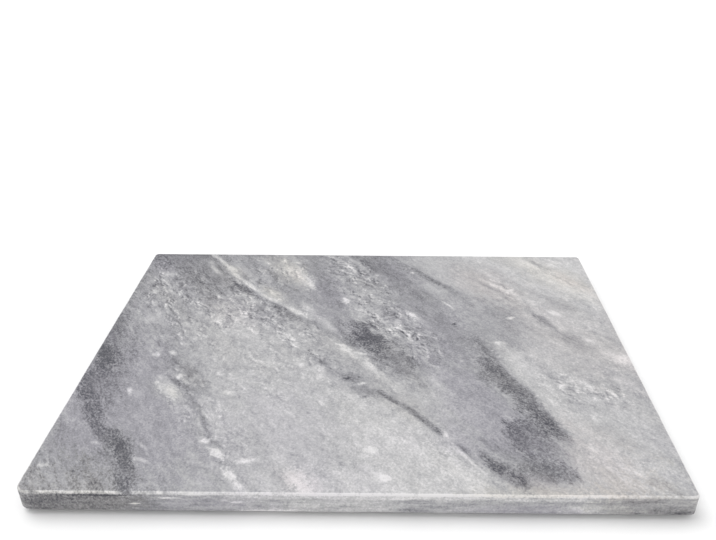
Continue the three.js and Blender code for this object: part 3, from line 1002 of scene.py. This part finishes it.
def turned_tree():
    """A turned disc with a rounded foot and shoulder, set under each corner of the board."""
    inputs = [
        *sockets("Float", "Spread X", "Spread Y", "Base", "Height", "Base Radius", "Top Radius"),
        *sockets("Float", "Base Rounding", "Top Rounding"),
        *sockets("Int", "Segments"),
        *sockets("Material", "Material"),
    ]
    outputs = sockets("Geometry", "Geometry")
    tree, bench, enter, leave = new_tree("Turned Discs", "GeometryNodeTree", inputs, outputs)
    circle = {"Resolution": enter["Segments"], "Radius": enter["Top Radius"]}
    rail = bench.add("GeometryNodeCurvePrimitiveCircle", circle, mode="RADIUS")
    step_in = bench.math("SUBTRACT", enter["Top Radius"], enter["Base Radius"])
    points = [
        (enter["Top Radius"], 0.0),
        (step_in, 0.0),
        (0.0, enter["Height"]),
        (enter["Top Radius"], enter["Height"]),
    ]
    edge = open_profile(bench, points, enter["Base Rounding"], enter["Top Rounding"], RIM_STEPS)
    disc = merged(bench, swept(bench, rail, edge))
    grid = {
        "Size X": enter["Spread X"],
        "Size Y": enter["Spread Y"],
        "Vertices X": 2,
        "Vertices Y": 2,
    }
    places = lifted(bench, bench.add("GeometryNodeMeshGrid", grid), enter["Base"])
    set_out = bench.add("GeometryNodeInstanceOnPoints", {"Points": places, "Instance": disc})
    finish_tree(bench, set_out, enter, leave)
    return tree


def grown_piece(context, name, tree, values):
    """Runs a Geometry Nodes tree once and keeps its result as a plain mesh."""
    piece = bpy.data.objects.new(name, bpy.data.meshes.new(name))
    context.scene.collection.objects.link(piece)
    modifier = piece.modifiers.new(tree.name, "NODES")
    modifier.node_group = tree
    for socket in tree.interface.items_tree:
        if socket.in_out == "INPUT":
            modifier[socket.identifier] = values[socket.name]
    context.view_layer.update()
    evaluated = piece.evaluated_get(context.evaluated_depsgraph_get())
    mesh = bpy.data.meshes.new_from_object(evaluated)
    piece.modifiers.remove(modifier)
    spare = piece.data
    piece.data = mesh
    bpy.data.meshes.remove(spare)
    mesh.name = name
    if not mesh.polygons:
        raise RuntimeError(name + " came out with no faces")
    return piece


# What a user would change


def length_setting(name, description, default):
    return FloatProperty(name=name, description=description, default=default, unit="LENGTH")


def number_setting(name, description, default, subtype="NONE"):
    return FloatProperty(name=name, description=description, default=default, subtype=subtype)


def vector_setting(name, description, default, subtype):
    return FloatVectorProperty(
        name=name, description=description, default=default, size=3, subtype=subtype
    )


def colour_setting(name, description, default):
    return vector_setting(name, description, default, "COLOR")


class StoneSlabSettings(PropertyGroup):
    """The slab's sizes, from the frame, and the wear of its edges"""

    length: length_setting("Length", "The slab's length, side to side", slab_high.x - slab_low.x)
    depth: length_setting("Depth", "The slab's depth, front to back", slab_high.y - slab_low.y)
    base: length_setting("Base", "How high the slab's underside stands above the worktop", slab_low.z)
    thickness: length_setting("Thickness", "The slab's thickness", slab_high.z - slab_low.z)
    corner_radius: length_setting(
        "Corner radius", "The rounding of three of the corners, seen from above", 3.5 * MM
    )
    worn_corner_radius: length_setting(
        "Worn corner radius", "The rounding of the front left corner, seen from above", 7 * MM
    )
    top_arris: length_setting(
        "Top arris", "The radius of the eased edge round the working face", 1.5 * MM
    )
    bottom_arris: length_setting(
        "Bottom arris", "The radius of the eased edge round the underside", 1 * MM
    )
    chip_depth: length_setting(
        "Chip depth", "How deep wear and small nicks press into the eased edges", 0.35 * MM
    )
    spacing: length_setting(
        "Spacing", "The distance between points along the slab's outline", 0.6 * MM
    )
    seed: IntProperty(name="Seed", description="Chooses where the chips fall", default=4)


class StoneLooks(PropertyGroup):
    """The stone's colours and drawing"""

    darkest: colour_setting("Darkest", "The stone in the heart of a dark band", (0.041, 0.041, 0.055))
    dark: colour_setting("Dark", "The stone of a dark band", (0.139, 0.138, 0.151))
    middle: colour_setting("Middle", "The common grey of the stone", (0.272, 0.271, 0.286))
    pale: colour_setting("Pale", "The stone's pale fields", (0.424, 0.421, 0.426))
    white: colour_setting("White", "White crystal in the veins", (0.650, 0.637, 0.640))
    violet: colour_setting("Violet", "The cast that multiplies the violet fields", (0.975, 0.96, 1.0))
    cream: colour_setting("Cream", "The cast that multiplies the cream patches", (1.0, 0.985, 0.94))
    rose: colour_setting("Rose", "The cast that multiplies the rosy patches", (1.0, 0.968, 0.962))
    base_tone: number_setting(
        "Base tone", "The tone that every stroke starts from, 0 black to 1 white", 0.69
    )
    # The eased edge is paler from bruising and from a painted highlight
    bruise_and_highlight: number_setting("Bruise and highlight", "How much paler the eased edge is", 0.17)
    roughness: number_setting("Roughness", "The roughness of the honed face", 0.45, "FACTOR")
    grain_turn: number_setting(
        "Grain turn", "The way the grain runs, in degrees from the board's length", -54.0
    )
    dip: number_setting(
        "Dip", "How far a layer moves to the front for each millimetre down, in millimetres", -6.0
    )
    wander: number_setting("Wander", "How far the strokes wander, in millimetres", 8.0)
    wander_size: number_setting("Wander size", "The size of one wander, in millimetres", 45.0)


class FootSettings(PropertyGroup):
    """The feet and the pads that hold them"""

    rounding: length_setting("Rounding", "The radius of a foot's standing edge", 0.75 * MM)
    taper: length_setting("Taper", "How much a foot's radius shrinks from top to base", 1.0 * MM)
    rubber: colour_setting("Rubber", "The feet's rubber", (0.020, 0.020, 0.021))
    worn_rubber: colour_setting(
        "Worn rubber", "The feet's rubber where it is dusty", (0.045, 0.045, 0.046)
    )
    foam: colour_setting("Foam", "The pads' foam", (0.70, 0.68, 0.61))
    # Painted shade in the foam's cells
    foam_shade: colour_setting("Foam shade", "The pads' foam in its cells", (0.58, 0.55, 0.48))


class StageSettings(PropertyGroup):
    """The floor, the light and the camera"""

    floor_colour: colour_setting("Floor colour", "The plain pale floor", (0.88, 0.88, 0.88))
    sky_strength: number_setting("Sky strength", "The soft white light from all round", 0.86)
    key_strength: number_setting(
        "Key strength", "The broad soft lamp behind and to the left, in watts for each square metre", 1.3
    )
    key_softness: number_setting(
        "Key softness", "How wide the key lamp looks from the board", math.radians(44), "ANGLE"
    )
    fill_strength: number_setting(
        "Fill strength", "The low soft lamp in front, in watts for each square metre", 0.5
    )
    fill_softness: number_setting(
        "Fill softness", "How wide the fill lamp looks from the board", math.radians(70), "ANGLE"
    )
    camera_place: vector_setting(
        "Camera place", "Where the camera stands", (0.0128, -0.4517, 0.3323), "TRANSLATION"
    )
    camera_turn: vector_setting(
        "Camera turn",
        "The camera's tilt, roll and swing",
        tuple(math.radians(angle) for angle in (61.265, -0.304, 0.399)),
        "EULER",
    )
    lens: number_setting(
        "Lens", "The camera's focal length on a sensor 36 mm wide, in millimetres", 36.03
    )
    shift: number_setting(
        "Shift", "How far the picture's middle lies beside the lens's axis, in widths", -0.0278
    )


class BoardSettings(PropertyGroup):
    """Everything the board's builders read"""

    slab: PointerProperty(type=StoneSlabSettings)
    stone: PointerProperty(type=StoneLooks)
    feet: PointerProperty(type=FootSettings)
    stage: PointerProperty(type=StageSettings)


# Builders


class BOARD_OT_slab(Operator):
    """Build the honed marble slab"""

    bl_idname = "board.slab"
    bl_label = "Marble Slab"

    def execute(self, context):
        slab = context.scene.board.slab
        values = {
            "Length": slab.length,
            "Depth": slab.depth,
            "Base": slab.base,
            "Thickness": slab.thickness,
            "Corner Radius": slab.corner_radius,
            "Worn Corner Radius": slab.worn_corner_radius,
            "Top Arris": slab.top_arris,
            "Bottom Arris": slab.bottom_arris,
            "Land": SLAB_LAND,
            "Spacing": slab.spacing,
            "Chip Depth": slab.chip_depth,
            "Seed": float(slab.seed),
            "Material": marble_material(context.scene.board.stone),
        }
        piece = grown_piece(context, "honed_marble_slab", slab_tree(), values)
        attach(piece, "root")
        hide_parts("marble_slab")
        return {"FINISHED"}


def turned_values(low, high):
    """The sizes that feet and pads share, from one node's box."""
    radius = (high.x - low.x) / 2
    return {
        "Spread X": 2 * foot_centre.x,
        "Spread Y": 2 * foot_centre.y,
        "Base": low.z,
        "Height": high.z - low.z,
        "Base Radius": radius,
        "Top Radius": radius,
        "Segments": ROUND_SEGMENTS,
    }


class BOARD_OT_feet(Operator):
    """Build the moulded rubber feet"""

    bl_idname = "board.feet"
    bl_label = "Rubber Feet"

    def execute(self, context):
        feet = context.scene.board.feet
        rubber = grained_material("moulded rubber", feet.rubber, feet.worn_rubber, RUBBER_FINISH)
        values = turned_values(foot_low, foot_high)
        values["Base Radius"] -= feet.taper
        values["Base Rounding"] = feet.rounding
        values["Top Rounding"] = FOOT_TOP_ROUNDING
        values["Material"] = rubber
        piece = grown_piece(context, "moulded_rubber_feet", turned_tree(), values)
        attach(piece, "root")
        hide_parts(*FOOT_NODES)
        return {"FINISHED"}


class BOARD_OT_pads(Operator):
    """Build the foam pads that hold the feet"""

    bl_idname = "board.pads"
    bl_label = "Adhesive Pads"

    def execute(self, context):
        feet = context.scene.board.feet
        foam = grained_material("adhesive foam", feet.foam, feet.foam_shade, FOAM_FINISH)
        values = turned_values(pad_low, pad_high)
        values["Base Rounding"] = PAD_ROUNDING
        values["Top Rounding"] = PAD_ROUNDING
        values["Material"] = foam
        piece = grown_piece(context, "foam_adhesive_pads", turned_tree(), values)
        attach(piece, "root")
        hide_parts(*PAD_NODES)
        return {"FINISHED"}


def lay_floor(scene, stage):
    """A plain, level floor, wide enough to fill the picture."""
    material = new_material("pale floor")
    skin = {"Base Color": (*stage.floor_colour, 1), "Roughness": FLOOR_ROUGHNESS}
    NodeBench(material.node_tree).surface(skin)
    mesh = bpy.data.meshes.new("floor")
    corners = [
        (-FLOOR_REACH, -FLOOR_REACH, 0),
        (FLOOR_REACH, -FLOOR_REACH, 0),
        (FLOOR_REACH, FLOOR_REACH, 0),
        (-FLOOR_REACH, FLOOR_REACH, 0),
    ]
    mesh.from_pydata(corners, [], [(0, 1, 2, 3)])
    mesh.materials.append(material)
    floor = bpy.data.objects.new("floor", mesh)
    scene.collection.objects.link(floor)


def white_room(scene, strength):
    """Soft white light from all round."""
    world = bpy.data.worlds.new("white room")
    world.use_nodes = True
    sky = world.node_tree.nodes["Background"].inputs
    sky["Color"].default_value = (1, 1, 1, 1)
    sky["Strength"].default_value = strength
    scene.world = world


def soft_lamp(scene, name, place, strength, softness):
    """A broad, distant lamp that shines from its place towards the board."""
    lamp = bpy.data.lights.new(name, "SUN")
    lamp.energy = strength
    lamp.angle = softness
    holder = bpy.data.objects.new(name, lamp)
    holder.location = place
    holder.rotation_euler = (-holder.location).to_track_quat("-Z", "Y").to_euler()
    scene.collection.objects.link(holder)


def place_camera(scene, stage):
    lens = bpy.data.cameras.new("camera")
    lens.sensor_width = SENSOR_WIDTH_MM
    lens.lens = stage.lens
    lens.shift_x = stage.shift
    lens.clip_start = CAMERA_NEAR
    camera = bpy.data.objects.new("camera", lens)
    camera.location = stage.camera_place
    camera.rotation_euler = stage.camera_turn
    scene.collection.objects.link(camera)
    scene.camera = camera


class BOARD_OT_stage(Operator):
    """Set out the floor, the light and the camera"""

    bl_idname = "board.stage"
    bl_label = "Stage"

    def execute(self, context):
        scene = context.scene
        stage = scene.board.stage
        lay_floor(scene, stage)
        white_room(scene, stage.sky_strength)
        soft_lamp(scene, "key", KEY_PLACE, stage.key_strength, stage.key_softness)
        soft_lamp(scene, "fill", FILL_PLACE, stage.fill_strength, stage.fill_softness)
        place_camera(scene, stage)
        scene.view_settings.view_transform = "Standard"
        return {"FINISHED"}


class BOARD_PT_builders(Panel):
    """Lists the board's builders"""

    bl_idname = "BOARD_PT_builders"
    bl_label = "Marble Chopping Board"
    bl_space_type = "VIEW_3D"
    bl_region_type = "UI"
    bl_category = "Board"

    def draw(self, context):
        for builder in BUILDERS:
            self.layout.operator(builder.bl_idname)


BUILDERS = (BOARD_OT_slab, BOARD_OT_feet, BOARD_OT_pads, BOARD_OT_stage)
SETTINGS = (StoneSlabSettings, StoneLooks, FootSettings, StageSettings, BoardSettings)


def register():
    for each in (*SETTINGS, *BUILDERS, BOARD_PT_builders):
        bpy.utils.register_class(each)
    bpy.types.Scene.board = PointerProperty(type=BoardSettings)


def unregister():
    del bpy.types.Scene.board
    for each in reversed((*SETTINGS, *BUILDERS, BOARD_PT_builders)):
        bpy.utils.unregister_class(each)


def main():
    register()
    bpy.ops.board.slab()
    bpy.ops.board.feet()
    bpy.ops.board.pads()
    bpy.ops.board.stage()


if __name__ == "__main__":
    main()
